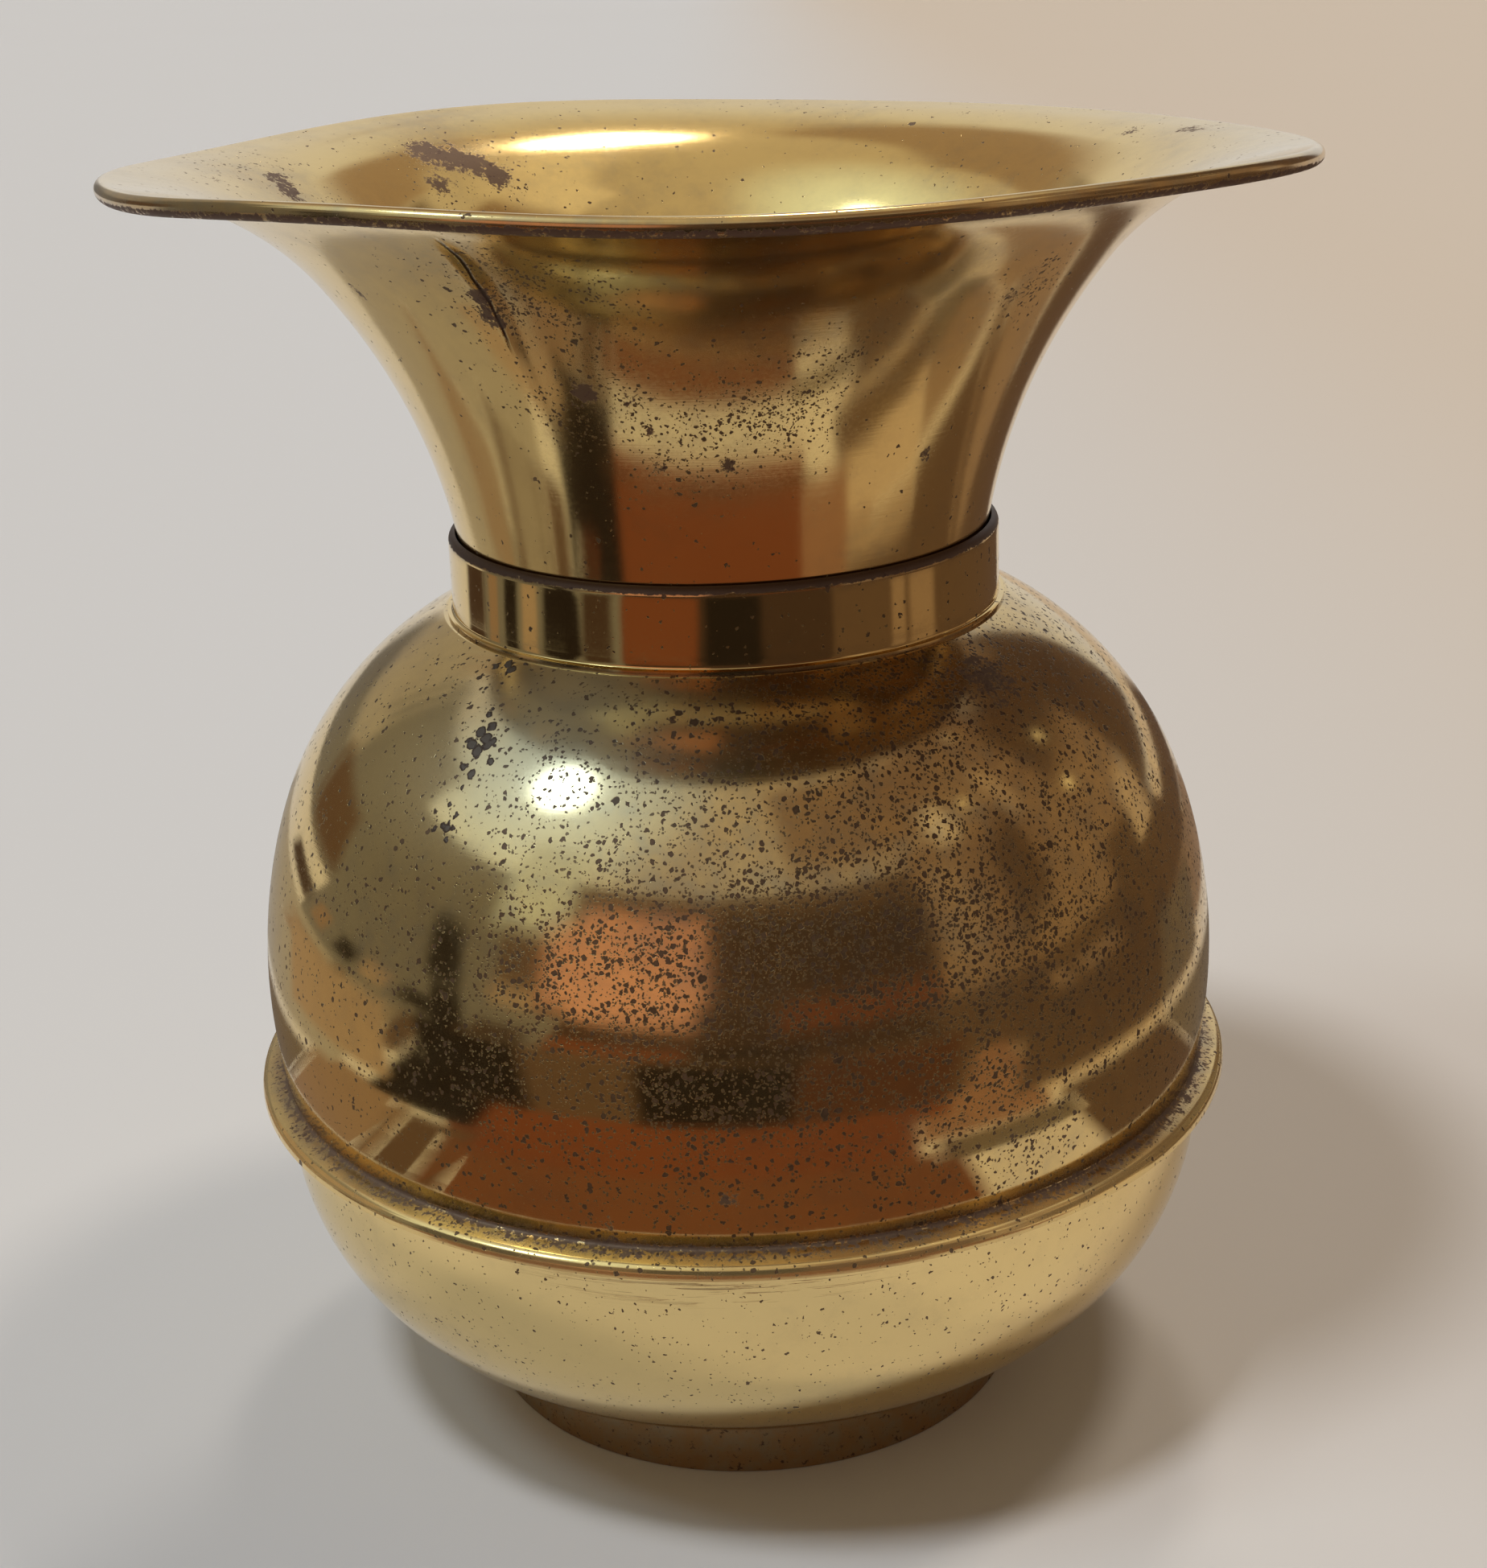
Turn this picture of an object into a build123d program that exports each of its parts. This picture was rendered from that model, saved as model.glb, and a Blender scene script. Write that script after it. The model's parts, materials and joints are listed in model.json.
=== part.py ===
from build123d import *
from math import asin, atan2, cos, degrees, radians, sin, sqrt, tan
import os

# Brass spittoon: a two-part bowl on a foot ring, with a collar that takes a lift-out funnel.
# Every piece is turned about Z. The table is z = 0. All sizes are in millimetres.

# Sheet and wire
BOWL_SHEET = 0.8
COLLAR_SHEET = 0.8
FUNNEL_SHEET = 0.8
RIM_WIRE_DIAMETER = 1.4
WIRE_CLEARANCE = 0.05

# Foot ring
FOOT_RADIUS = 60.0
FOOT_WALL = 1.2
FOOT_EDGE_ROUND = 0.3
FOOT_CLEARANCE = 0.05
FOOT_SOLDER_LEG = 2.0

# Lower bowl: a flat bottom, a round side and a short upright wall with an out-turned flange
BASE_HEIGHT = 12.6
LOWER_ARC = 54.5
LOWER_WALL = 7.3
FLANGE_BEND = 0.8

# Belly bead: the upper bowl's lip caps the lower bowl's flange
BEAD_STAND = 3.6
LIP_ROUND = 2.2
LIP_SLOPE = 15.0
LIP_EDGE = 0.6
CREASE_ROUND = 0.8
SEAM_GAP = 0.3

# Upper bowl: a belly arc runs into a tighter shoulder arc, then a flat ledge round the neck
BELLY_RADIUS = 102.4
BELLY_RISE = 22.5
BELLY_ARC = 110.7
SHOULDER_ARC = 72.5
SHOULDER_BREAK = 19.9
LEDGE_BEND = 1.5
LEDGE_INSET = 3.8
LANDING_MARGIN = 0.3

# Collar
COLLAR_RADIUS = 57.2
COLLAR_WALL = 13.6
COLLAR_LIP_ROUND = 2.0
COLLAR_LIP_TURN = 75.0
COLLAR_FOOT_BEND = 0.6
COLLAR_FOOT_REACH = 1.1
COLLAR_SOLDER_LEG = 1.2

# Funnel: a tapered skirt, a long throat arc, a tighter trumpet arc and a nearly flat brim
MOUTH_GAP = 0.35
SKIRT_LEAN = 9.4
THROAT_LEAN = 38.7
BRIM_LEAN = 81.0
BRIM_FLAT = 5.0
FUNNEL_RISE = 74.75
RIM_RADIUS = 118.8
ROLL_TURN = 270.0


def on_circle(centre, radius, angle):
    """Point of a circle in the r, z plane at an angle in degrees from the r direction."""
    turn = radians(angle)
    return (centre[0] + radius * cos(turn), centre[1] + radius * sin(turn))


def inset(point, lean, depth):
    """Point moved inwards, square to a wall that leans out by an angle in degrees."""
    turn = radians(lean)
    return (point[0] - depth * cos(turn), point[1] + depth * sin(turn))


# Belly bead, worked out from the lower bowl's flange upwards
flange_underside = BASE_HEIGHT + LOWER_ARC + LOWER_WALL
flange_top = flange_underside + BOWL_SHEET
bead_radius = BELLY_RADIUS + BEAD_STAND
flange_radius = bead_radius - BOWL_SHEET - SEAM_GAP
lip_bore_round = LIP_ROUND - BOWL_SHEET
lip_bore_rise = sqrt(lip_bore_round**2 - (lip_bore_round - SEAM_GAP) ** 2)
lip_centre = (bead_radius - LIP_ROUND, flange_top + SEAM_GAP - lip_bore_rise)

# Upper bowl arcs: the crease is rounded into both the belly arc and the sloping lip
belly_centre = (BELLY_RADIUS - BELLY_ARC, flange_top + BELLY_RISE)
lip_out = (lip_centre[0] - belly_centre[0]) * sin(radians(LIP_SLOPE))
lip_up = (lip_centre[1] - belly_centre[1]) * cos(radians(LIP_SLOPE))
crease_share = (lip_out + lip_up + LIP_ROUND + CREASE_ROUND) / (BELLY_ARC + CREASE_ROUND)
crease_angle = degrees(asin(crease_share)) - LIP_SLOPE
wall_foot = on_circle(belly_centre, BELLY_ARC, crease_angle)
shoulder_centre = on_circle(belly_centre, BELLY_ARC - SHOULDER_ARC, SHOULDER_BREAK)

# Ledge: flat from the neck opening out to just past the collar's foot
landing_radius = COLLAR_RADIUS + COLLAR_FOOT_REACH + LANDING_MARGIN
landing_out = landing_radius - shoulder_centre[0]
landing_up = sqrt((SHOULDER_ARC - LEDGE_BEND) ** 2 - landing_out**2)
landing_angle = degrees(atan2(landing_up, landing_out))
ledge_top = shoulder_centre[1] + landing_up + LEDGE_BEND

# Collar: it stands on the ledge, and its lip leaves a round mouth for the funnel
collar_wall_foot = ledge_top + COLLAR_SHEET + COLLAR_FOOT_BEND
collar_wall_top = collar_wall_foot + COLLAR_WALL
collar_lip_centre = (COLLAR_RADIUS - COLLAR_LIP_ROUND, collar_wall_top)
collar_mouth = on_circle(collar_lip_centre, COLLAR_LIP_ROUND - COLLAR_SHEET, COLLAR_LIP_TURN)

# Funnel: the skirt stands on the ledge, and two arcs carry it from the mouth to the rolled rim
neck = (collar_mouth[0] - MOUTH_GAP, collar_mouth[1])
skirt_foot = (neck[0] - (neck[1] - ledge_top) * tan(radians(SKIRT_LEAN)), ledge_top)
skirt_foot_bore = (skirt_foot[0] - FUNNEL_SHEET / cos(radians(SKIRT_LEAN)), ledge_top)
ledge_opening = skirt_foot_bore[0] - LEDGE_INSET
roll_bore = RIM_WIRE_DIAMETER / 2 + WIRE_CLEARANCE
roll_radius = roll_bore + FUNNEL_SHEET
rim_top = neck[1] + FUNNEL_RISE
roll_centre = (RIM_RADIUS - roll_radius, rim_top - roll_radius)
brim_end = on_circle(roll_centre, roll_bore, 180 - BRIM_LEAN)
trumpet_end = (
    brim_end[0] - BRIM_FLAT * sin(radians(BRIM_LEAN)),
    brim_end[1] - BRIM_FLAT * cos(radians(BRIM_LEAN)),
)
# Each arc goes out and up by its radius times these shares, which fixes both radii
throat_out = cos(radians(SKIRT_LEAN)) - cos(radians(THROAT_LEAN))
throat_up = sin(radians(THROAT_LEAN)) - sin(radians(SKIRT_LEAN))
trumpet_out = cos(radians(THROAT_LEAN)) - cos(radians(BRIM_LEAN))
trumpet_up = sin(radians(BRIM_LEAN)) - sin(radians(THROAT_LEAN))
funnel_out = trumpet_end[0] - neck[0]
funnel_up = trumpet_end[1] - neck[1]
share = trumpet_out * throat_up - throat_out * trumpet_up
throat_arc = (trumpet_out * funnel_up - trumpet_up * funnel_out) / share
trumpet_arc = (throat_up * funnel_out - throat_out * funnel_up) / share

# Foot: the ring's inner corner comes up to the round side of the bowl
bottom_flat = wall_foot[0] - LOWER_ARC
foot_bore = FOOT_RADIUS - FOOT_WALL
foot_across = max(foot_bore - bottom_flat, 0)
foot_contact = BASE_HEIGHT + LOWER_ARC - sqrt(LOWER_ARC**2 - foot_across**2)
foot_top = foot_contact - FOOT_CLEARANCE

os.makedirs("parts", exist_ok=True)

# Foot ring: a plain band with its lower edges eased
with BuildPart() as foot_ring:
    with BuildSketch(Plane.XZ) as foot_section:
        with Locations((foot_bore, 0)):
            Rectangle(FOOT_WALL, foot_top, align=(Align.MIN, Align.MIN))
        fillet(foot_section.vertices().group_by(Axis.Z)[0], FOOT_EDGE_ROUND)
    revolve(axis=Axis.Z)
foot_ring.part.label = "foot_ring"

# Lower bowl: one spun dish, drawn on its outer surface and thickened inwards
with BuildPart() as lower_bowl:
    with BuildSketch(Plane.XZ):
        with BuildLine():
            bottom = Line((0, BASE_HEIGHT), (bottom_flat, BASE_HEIGHT))
            side = JernArc(bottom @ 1, bottom % 1, LOWER_ARC, 90)
            wall = Line(side @ 1, (wall_foot[0], flange_underside - FLANGE_BEND))
            bend = JernArc(wall @ 1, wall % 1, FLANGE_BEND, -90)
            Line(bend @ 1, (flange_radius, flange_underside))
            offset(amount=BOWL_SHEET, side=Side.LEFT)
        make_face()
    revolve(axis=Axis.Z)
lower_bowl.part.label = "lower_bowl"

# Upper bowl: ledge, shoulder, belly, crease and lip in one spun shell
with BuildPart() as upper_bowl:
    with BuildSketch(Plane.XZ):
        with BuildLine():
            ledge = Line((ledge_opening, ledge_top), (landing_radius, ledge_top))
            bend = JernArc(ledge @ 1, ledge % 1, LEDGE_BEND, landing_angle - 90)
            shoulder = JernArc(bend @ 1, bend % 1, SHOULDER_ARC, SHOULDER_BREAK - landing_angle)
            belly = JernArc(shoulder @ 1, shoulder % 1, BELLY_ARC, crease_angle - SHOULDER_BREAK)
            crease = JernArc(belly @ 1, belly % 1, CREASE_ROUND, 90 - crease_angle - LIP_SLOPE)
            slope = Line(crease @ 1, on_circle(lip_centre, LIP_ROUND, 90 - LIP_SLOPE))
            lip = JernArc(slope @ 1, slope % 1, LIP_ROUND, LIP_SLOPE - 90)
            Line(lip @ 1, (bead_radius, lip_centre[1] - LIP_EDGE))
            offset(amount=BOWL_SHEET, side=Side.RIGHT)
        make_face()
    revolve(axis=Axis.Z)
upper_bowl.part.label = "upper_bowl"

# Collar: an upright band with a rolled-in lip and a short foot turned out on the ledge
with BuildPart() as collar:
    with BuildSketch(Plane.XZ):
        with BuildLine():
            foot_edge = (COLLAR_RADIUS + COLLAR_FOOT_REACH, ledge_top + COLLAR_SHEET)
            foot = Line(foot_edge, (COLLAR_RADIUS + COLLAR_FOOT_BEND, foot_edge[1]))
            bend = JernArc(foot @ 1, foot % 1, COLLAR_FOOT_BEND, -90)
            band = Line(bend @ 1, (COLLAR_RADIUS, collar_wall_top))
            JernArc(band @ 1, band % 1, COLLAR_LIP_ROUND, COLLAR_LIP_TURN)
            offset(amount=COLLAR_SHEET, side=Side.LEFT)
        make_face()
    revolve(axis=Axis.Z)
collar.part.label = "collar"

# Funnel: both faces of the sheet are drawn, from the skirt's foot to the end of the roll
with BuildPart() as funnel:
    with BuildSketch(Plane.XZ):
        with BuildLine():
            roll_ends = []
            for foot, depth in ((skirt_foot, 0), (skirt_foot_bore, FUNNEL_SHEET)):
                skirt = Line(foot, inset(neck, SKIRT_LEAN, depth))
                throat = JernArc(skirt @ 1, skirt % 1, throat_arc + depth, SKIRT_LEAN - THROAT_LEAN)
                trumpet = JernArc(throat @ 1, throat % 1, trumpet_arc + depth, THROAT_LEAN - BRIM_LEAN)
                brim = Line(trumpet @ 1, inset(brim_end, BRIM_LEAN, depth))
                roll = JernArc(brim @ 1, brim % 1, roll_bore + depth, -ROLL_TURN)
                roll_ends.append(roll @ 1)
            Line(skirt_foot, skirt_foot_bore)
            Line(roll_ends[0], roll_ends[1])
        make_face()
    revolve(axis=Axis.Z)
funnel.part.label = "funnel"

# Rim wire: it stiffens the funnel's edge from inside the roll
with BuildPart() as rim_wire:
    with BuildSketch(Plane.XZ):
        with Locations(roll_centre):
            Circle(RIM_WIRE_DIAMETER / 2)
    revolve(axis=Axis.Z)
rim_wire.part.label = "rim_wire"

# Foot solder: a fillet in the corner between the foot ring and the bowl's underside
with BuildPart() as foot_solder:
    with BuildSketch(Plane.XZ):
        with BuildLine():
            Polyline(
                (foot_bore, foot_top - FOOT_SOLDER_LEG),
                (foot_bore, foot_top + BOWL_SHEET / 2),
                (foot_bore - FOOT_SOLDER_LEG, foot_top),
                close=True,
            )
        make_face()
    revolve(axis=Axis.Z)
    add(lower_bowl.part, mode=Mode.SUBTRACT)
foot_solder.part.label = "foot_solder"

# Seam solder: it fills the space between the flange and the lip that caps it
lip_middle = on_circle(lip_centre, LIP_ROUND - BOWL_SHEET / 2, 90 - LIP_SLOPE)
seam_bore = wall_foot[0] + FLANGE_BEND
with BuildPart() as seam_solder:
    with BuildSketch(Plane.XZ):
        with BuildLine():
            Polyline(
                (seam_bore, flange_top),
                (lip_middle[0], flange_top),
                lip_middle,
                (seam_bore, lip_middle[1] + (lip_middle[0] - seam_bore) * tan(radians(LIP_SLOPE))),
                close=True,
            )
        make_face()
    revolve(axis=Axis.Z)
    add(upper_bowl.part, mode=Mode.SUBTRACT)
seam_solder.part.label = "seam_solder"

# Collar solder: a fillet in the corner between the ledge and the collar's bend
with BuildPart() as collar_solder:
    with BuildSketch(Plane.XZ):
        with BuildLine():
            collar_bore = COLLAR_RADIUS - COLLAR_SHEET
            Polyline(
                (collar_bore - COLLAR_SOLDER_LEG, ledge_top),
                (COLLAR_RADIUS, ledge_top),
                (collar_bore, collar_wall_foot + COLLAR_SOLDER_LEG),
                close=True,
            )
        make_face()
    revolve(axis=Axis.Z)
    add(collar.part, mode=Mode.SUBTRACT)
collar_solder.part.label = "collar_solder"

pieces = (
    foot_ring,
    lower_bowl,
    upper_bowl,
    collar,
    funnel,
    rim_wire,
    foot_solder,
    seam_solder,
    collar_solder,
)
for piece in pieces:
    export_step(piece.part, f"parts/{piece.part.label}.step")

print(f"rim top {rim_top:.2f}, throat arc {throat_arc:.1f}, trumpet arc {trumpet_arc:.1f}")
print(f"flange top {flange_top:.2f}, wall radius {wall_foot[0]:.2f}, foot top {foot_top:.2f}")
print(f"ledge top {ledge_top:.2f}, opening {ledge_opening:.2f}, landing {landing_radius:.2f}")
print(f"neck radius {neck[0]:.2f} at {neck[1]:.2f}, skirt foot {skirt_foot[0]:.2f}")
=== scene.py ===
# %% [markdown]
# # A spun-brass spittoon, dressed in Blender
#
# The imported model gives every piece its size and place. This script keeps that frame, spins finer
# copies of the brass shells over it with the bruises that years of use have left, and gives each
# shell its own worn finish. All numbers for shapes are in millimetres until a mesh is made, because
# that is how a metal spinner would measure them. Angles on the shells are in degrees: 0 is the
# right, 90 the back, 180 the left and 270 the side towards the camera.

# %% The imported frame
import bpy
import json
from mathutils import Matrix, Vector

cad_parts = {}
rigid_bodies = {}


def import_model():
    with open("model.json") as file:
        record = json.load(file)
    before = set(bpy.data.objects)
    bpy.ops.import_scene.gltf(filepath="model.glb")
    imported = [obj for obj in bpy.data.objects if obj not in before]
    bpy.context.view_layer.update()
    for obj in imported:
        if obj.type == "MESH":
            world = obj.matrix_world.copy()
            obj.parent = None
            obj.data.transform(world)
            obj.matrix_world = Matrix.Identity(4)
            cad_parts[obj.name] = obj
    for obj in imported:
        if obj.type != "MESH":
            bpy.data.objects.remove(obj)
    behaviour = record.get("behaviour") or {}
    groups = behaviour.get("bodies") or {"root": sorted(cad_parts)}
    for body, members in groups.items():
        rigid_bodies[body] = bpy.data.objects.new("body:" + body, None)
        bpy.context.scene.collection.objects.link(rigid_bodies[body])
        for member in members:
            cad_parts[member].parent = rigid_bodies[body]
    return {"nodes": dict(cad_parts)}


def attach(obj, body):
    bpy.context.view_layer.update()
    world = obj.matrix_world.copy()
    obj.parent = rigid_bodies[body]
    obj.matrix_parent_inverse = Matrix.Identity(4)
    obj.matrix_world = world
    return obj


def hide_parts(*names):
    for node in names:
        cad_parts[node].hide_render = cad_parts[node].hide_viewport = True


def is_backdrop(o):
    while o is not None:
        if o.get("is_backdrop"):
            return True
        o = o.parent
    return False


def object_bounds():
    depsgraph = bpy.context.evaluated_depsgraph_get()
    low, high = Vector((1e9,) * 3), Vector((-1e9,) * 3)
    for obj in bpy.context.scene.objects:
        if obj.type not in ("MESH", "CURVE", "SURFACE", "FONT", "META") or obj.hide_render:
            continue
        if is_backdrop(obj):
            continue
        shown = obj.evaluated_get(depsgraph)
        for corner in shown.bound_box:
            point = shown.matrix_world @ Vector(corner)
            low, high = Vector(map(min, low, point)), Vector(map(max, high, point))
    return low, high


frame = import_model()
cad_box = [list(corner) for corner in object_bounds()]

import json
import math

import bmesh
import bpy
import numpy as np
from mathutils import Matrix, Vector, noise

scene = bpy.context.scene
scene.view_settings.view_transform = "Standard"
print("nodes:", sorted(frame["nodes"]), "box:", cad_box)

# %% [markdown]
# ## The camera
#
# The photograph was taken from half a metre away and a little above the rim, with the camera held
# slightly crooked. The lens, the height and the tilt were found by laying the rim, the neck, the
# collar, the bead and the foot over their ellipses in the picture. Building the camera's three axes
# by hand is the clearest way to put in a pitch, a yaw and a roll together.

# %% Camera
EYE = Vector((0.0, -0.5045, 0.3149))
PITCH, YAW, ROLL = math.radians(19.79), math.radians(0.26), math.radians(-2.03)
FOCAL_LENGTH, SENSOR_WIDTH = 56.84, 36.0

forward = Vector((
    math.sin(YAW) * math.cos(PITCH),
    math.cos(YAW) * math.cos(PITCH),
    -math.sin(PITCH),
))
level = Vector((math.cos(YAW), -math.sin(YAW), 0.0))
upright = level.cross(forward)
rightward = math.cos(ROLL) * level + math.sin(ROLL) * upright
upward = math.cos(ROLL) * upright - math.sin(ROLL) * level

lens = bpy.data.cameras.new("photo_lens")
lens.lens, lens.sensor_width = FOCAL_LENGTH, SENSOR_WIDTH
camera = bpy.data.objects.new("photo_camera", lens)
axes = Matrix((rightward, upward, -forward)).transposed()
camera.matrix_world = Matrix.Translation(EYE) @ axes.to_4x4()
scene.collection.objects.link(camera)
scene.camera = camera
print("camera", round(EYE.length, 3), "m from the foot's centre")

# %% [markdown]
# ## Spinning a shell
#
# On the real object each shell is a disc of sheet brass pressed over a turning wooden former. Here
# a section is walked like a drawing turtle, run by run and bend by bend, in radius and height. The
# walk is one face of the sheet, and the other face is the same walk moved over by the thickness.
# A Screw modifier could turn such a line too, but turning it in code keeps track of the angle, the
# radius and the face at every point, and the wear is laid on with those afterwards.

# %% The section of a sheet
LEFT, RIGHT = 1, -1  # the side of the walk that the metal is on


class SheetSection:
    def __init__(self, radius, height, heading):
        self.radius, self.height, self.heading = radius, height, math.radians(heading)
        self.points = [(radius, height, self.heading)]

    def step(self, length):
        self.radius += length * math.cos(self.heading)
        self.height += length * math.sin(self.heading)

    def run(self, length, stride=2.0):
        count = max(1, round(length / stride))
        for _ in range(count):
            self.step(length / count)
            self.points.append((self.radius, self.height, self.heading))
        return self

    def bend(self, bend_radius, turn, stride=2.0):
        count = max(5, round(abs(math.radians(turn)) * bend_radius / stride))
        each = math.radians(turn) / count
        for _ in range(count):
            self.heading += each / 2
            self.step(2 * bend_radius * math.sin(abs(each) / 2))
            self.heading += each / 2
            self.points.append((self.radius, self.height, self.heading))
        return self

    def faces(self, thickness, metal_side):
        """The walked face, then the other one back again.

        A point is a radius, a height, a heading, and 1 on the walked face or 0 on the other.
        """
        shift = metal_side * thickness
        walked = [(r, z, h, 1.0) for r, z, h in self.points]
        other = [
            (max(0.0, r - shift * math.sin(h)), z + shift * math.cos(h), h, 0.0)
            for r, z, h in self.points
        ]
        return walked + other[::-1]


# %% [markdown]
# A hand-spun wall is never a perfect surface of revolution: the spinner's tool leaves it wavy by a
# few hundredths of a millimetre, and that is enough to make a mirror of it look hand made. The
# waviness goes into the mesh itself, on both faces of the sheet together, so that it is part of the
# shape. A texture could fake it with a bump, but then the outline would stay perfect.

# %% Waviness of a spun wall
LONG_WAVE, SHORT_WAVE = 21.0, 8.0
SHORT_SHARE, SHORT_SHIFT = 0.35, 50


def out_of_true(x, y, z, wave):
    """Millimetres that the wall stands off its section at one place."""
    long_wave = noise.noise(Vector((x, y, z)) / LONG_WAVE)
    short_wave = noise.noise(Vector((x, y, z + SHORT_SHIFT)) / SHORT_WAVE)
    return wave * long_wave + SHORT_SHARE * wave * short_wave


print("waves of", LONG_WAVE, "and", SHORT_WAVE, "mm")

# %% [markdown]
# Turning a section gives a ring of points for each of its points, and quads between the rings. The
# dish starts on the axis, where a whole ring falls together into one point and its quads become
# triangles. Normals are worked out afresh at the end, so that it doesn't matter which way round a
# section was walked.

# %% Turning a section into a shell
TURNS = 288
PER_METRE = 1000
ON_AXIS = 1e-6
SHARP_EDGE = math.radians(40)


def spin(name, loop, body, wave=0.0, bruise=None, replaces=None):
    """Turns a closed section about the Z axis. A point at radius 0 becomes one vertex."""
    corners, rings, where = [], [], []
    angles = np.arange(TURNS) * (2 * math.pi / TURNS)
    for r, z, heading, walked in loop:
        first = len(corners)
        if r < ON_AXIS:
            corners.append((0.0, 0.0, z))
            where.append((0.0, 0.0, z, heading, walked))
            rings.append([first] * TURNS)
            continue
        rings.append(list(range(first, first + TURNS)))
        for angle in angles:
            x, y = math.cos(angle), math.sin(angle)
            push = out_of_true(x * r, y * r, z, wave)
            rr, zz = r + push * math.sin(heading), z - push * math.cos(heading)
            corners.append((rr * x, rr * y, zz))
            where.append((math.degrees(angle), r, z, heading, walked))
    where, spots = np.array(where), np.array(corners)
    if bruise is not None:
        spots = bruise(spots, where)

    # A section that starts on the axis is open there, and any other one closes on itself.
    next_rings = rings[1:] if loop[0][0] < ON_AXIS else rings[1:] + rings[:1]
    quads = []
    for here, there in zip(rings, next_rings):
        for k in range(TURNS):
            n = (k + 1) % TURNS
            quads.append(list(dict.fromkeys((here[k], here[n], there[n], there[k]))))

    mesh = bpy.data.meshes.new(name)
    mesh.from_pydata((spots / PER_METRE).tolist(), [], quads)
    work = bmesh.new()
    work.from_mesh(mesh)
    bmesh.ops.recalc_face_normals(work, faces=work.faces)
    work.to_mesh(mesh)
    work.free()
    mesh.shade_smooth()
    mesh.set_sharp_from_angle(angle=SHARP_EDGE)
    shell = bpy.data.objects.new(name, mesh)
    scene.collection.objects.link(shell)
    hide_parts(replaces)
    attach(shell, body)
    reach, low, high = where[:, 1].max(), spots[:, 2].min(), spots[:, 2].max()
    sizes = "radius %.1f, height %.1f to %.1f mm" % (reach, low, high)
    print(name, len(mesh.vertices), "points,", sizes)
    return shell, where, spots


# %% [markdown]
# ## The two halves of the bowl
#
# The lower bowl is a round-bottomed dish whose edge turns out into a narrow flange. The upper bowl
# starts flat on the ledge that the funnel stands on, comes down over shoulder and belly in two large
# arcs, and ends in a short lip that covers the flange. From outside that lip is the bead round the
# belly, with a dark line under it where the two sheets don't quite meet.

# %% Lower bowl
SHEET = 0.8

lower_section = (
    SheetSection(0, 12.6, 0)
    .run(46.22, 3.0)  # flat bottom
    .bend(54.5, 90)  # round side
    .run(6.5)  # upright wall
    .bend(0.8, -90)
    .run(3.38, 1.2)  # flange
)
lower_bowl, lower_where, lower_spots = spin(
    "lower_bowl_shell", lower_section.faces(SHEET, LEFT), "bowl",
    wave=0.035, replaces="lower_bowl",
)

# %% Upper bowl
upper_section = (
    SheetSection(47.87, 176.09, 0)
    .run(10.73, 1.5)  # ledge
    .bend(1.5, -25.87)
    .bend(72.5, -44.23)  # shoulder
    .bend(110.7, -29.89)  # belly
    .bend(0.8, 84.99)
    .run(3.177, 0.8)  # lip over the flange
    .bend(2.2, -75, 0.25)  # bead
    .run(0.6, 0.3)
)
upper_bowl, upper_where, upper_spots = spin(
    "upper_bowl_shell", upper_section.faces(SHEET, RIGHT), "bowl",
    wave=0.05, replaces="upper_bowl",
)

# %% [markdown]
# ## Foot and collar
#
# The foot is a plain band, bent round and soldered under the dish. It has been pushed over many
# floors, so its wall is a little less true than the spun shells, and its lower edge is rounded. The
# collar is a short upright band with its top edge rolled in towards the funnel. A bevelled cylinder
# would do for the foot, but the same spinning keeps one way of working for all five shells.

# %% Foot ring
FOOT_OUTSIDE, FOOT_INSIDE, FOOT_TOP, FOOT_EDGE = 60.0, 58.8, 14.02, 0.3
UPRIGHT = math.pi / 2

foot_heights = np.linspace(FOOT_EDGE, FOOT_TOP, 12)
foot_section = (
    [(FOOT_OUTSIDE, z, UPRIGHT, 1.0) for z in foot_heights]
    + [(FOOT_INSIDE, z, UPRIGHT, 0.0) for z in foot_heights[::-1]]
    + [(FOOT_INSIDE + FOOT_EDGE, 0.0, UPRIGHT, 0.0), (FOOT_OUTSIDE - FOOT_EDGE, 0.0, UPRIGHT, 1.0)]
)
foot_ring, foot_where, _ = spin(
    "foot_band", foot_section, "bowl", wave=0.12, replaces="foot_ring",
)

# %% Collar
collar_section = (
    SheetSection(58.3, 176.89, 180)
    .run(0.5, 0.25)
    .bend(0.6, -90)
    .run(13.6, 1.2)  # wall
    .bend(2.0, 75, 0.25)  # lip rolled in
)
collar, collar_where, _ = spin(
    "collar_band", collar_section.faces(SHEET, LEFT), "bowl",
    wave=0.05, replaces="collar",
)

# %% [markdown]
# ## The funnel and its bent rim
#
# The trumpet is one spun sheet whose edge is rolled outwards and under, round a wire. It has been
# dropped: seen from the side the rim is lifted near the left front, and once more at the left back,
# and it leans a little. The bend dies out towards the neck, because the neck is narrow and stiff.
# A lattice could bend the mesh too, but a rule in the angle round the rim is shorter, and the wire
# inside the roll follows exactly the same rule.

# %% How the rim is bent
RIM_SWELLS = [(237, 21.5, 5.5), (121, 26, 7.6), (186, 16, 1.5)]  # angle, width, millimetres
STIFF_RADIUS, RIM_RADIUS = 64, 118.8


def bump(angle, centre, width):
    """A smooth swelling of height 1 round one angle of the rim, in degrees."""
    away = (angle - centre + 180) % 360 - 180
    return np.exp(-0.5 * (away / width) ** 2)


def rim_lift(angle):
    """Millimetres that the rim stands above its own level."""
    turn = np.radians(angle)
    lean = 2.3 * np.cos(turn - math.radians(308)) - 1.4
    twist = 1.4 * np.cos(3 * (turn - math.radians(68)))
    return lean + twist + sum(high * bump(angle, at, wide) for at, wide, high in RIM_SWELLS)


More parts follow.
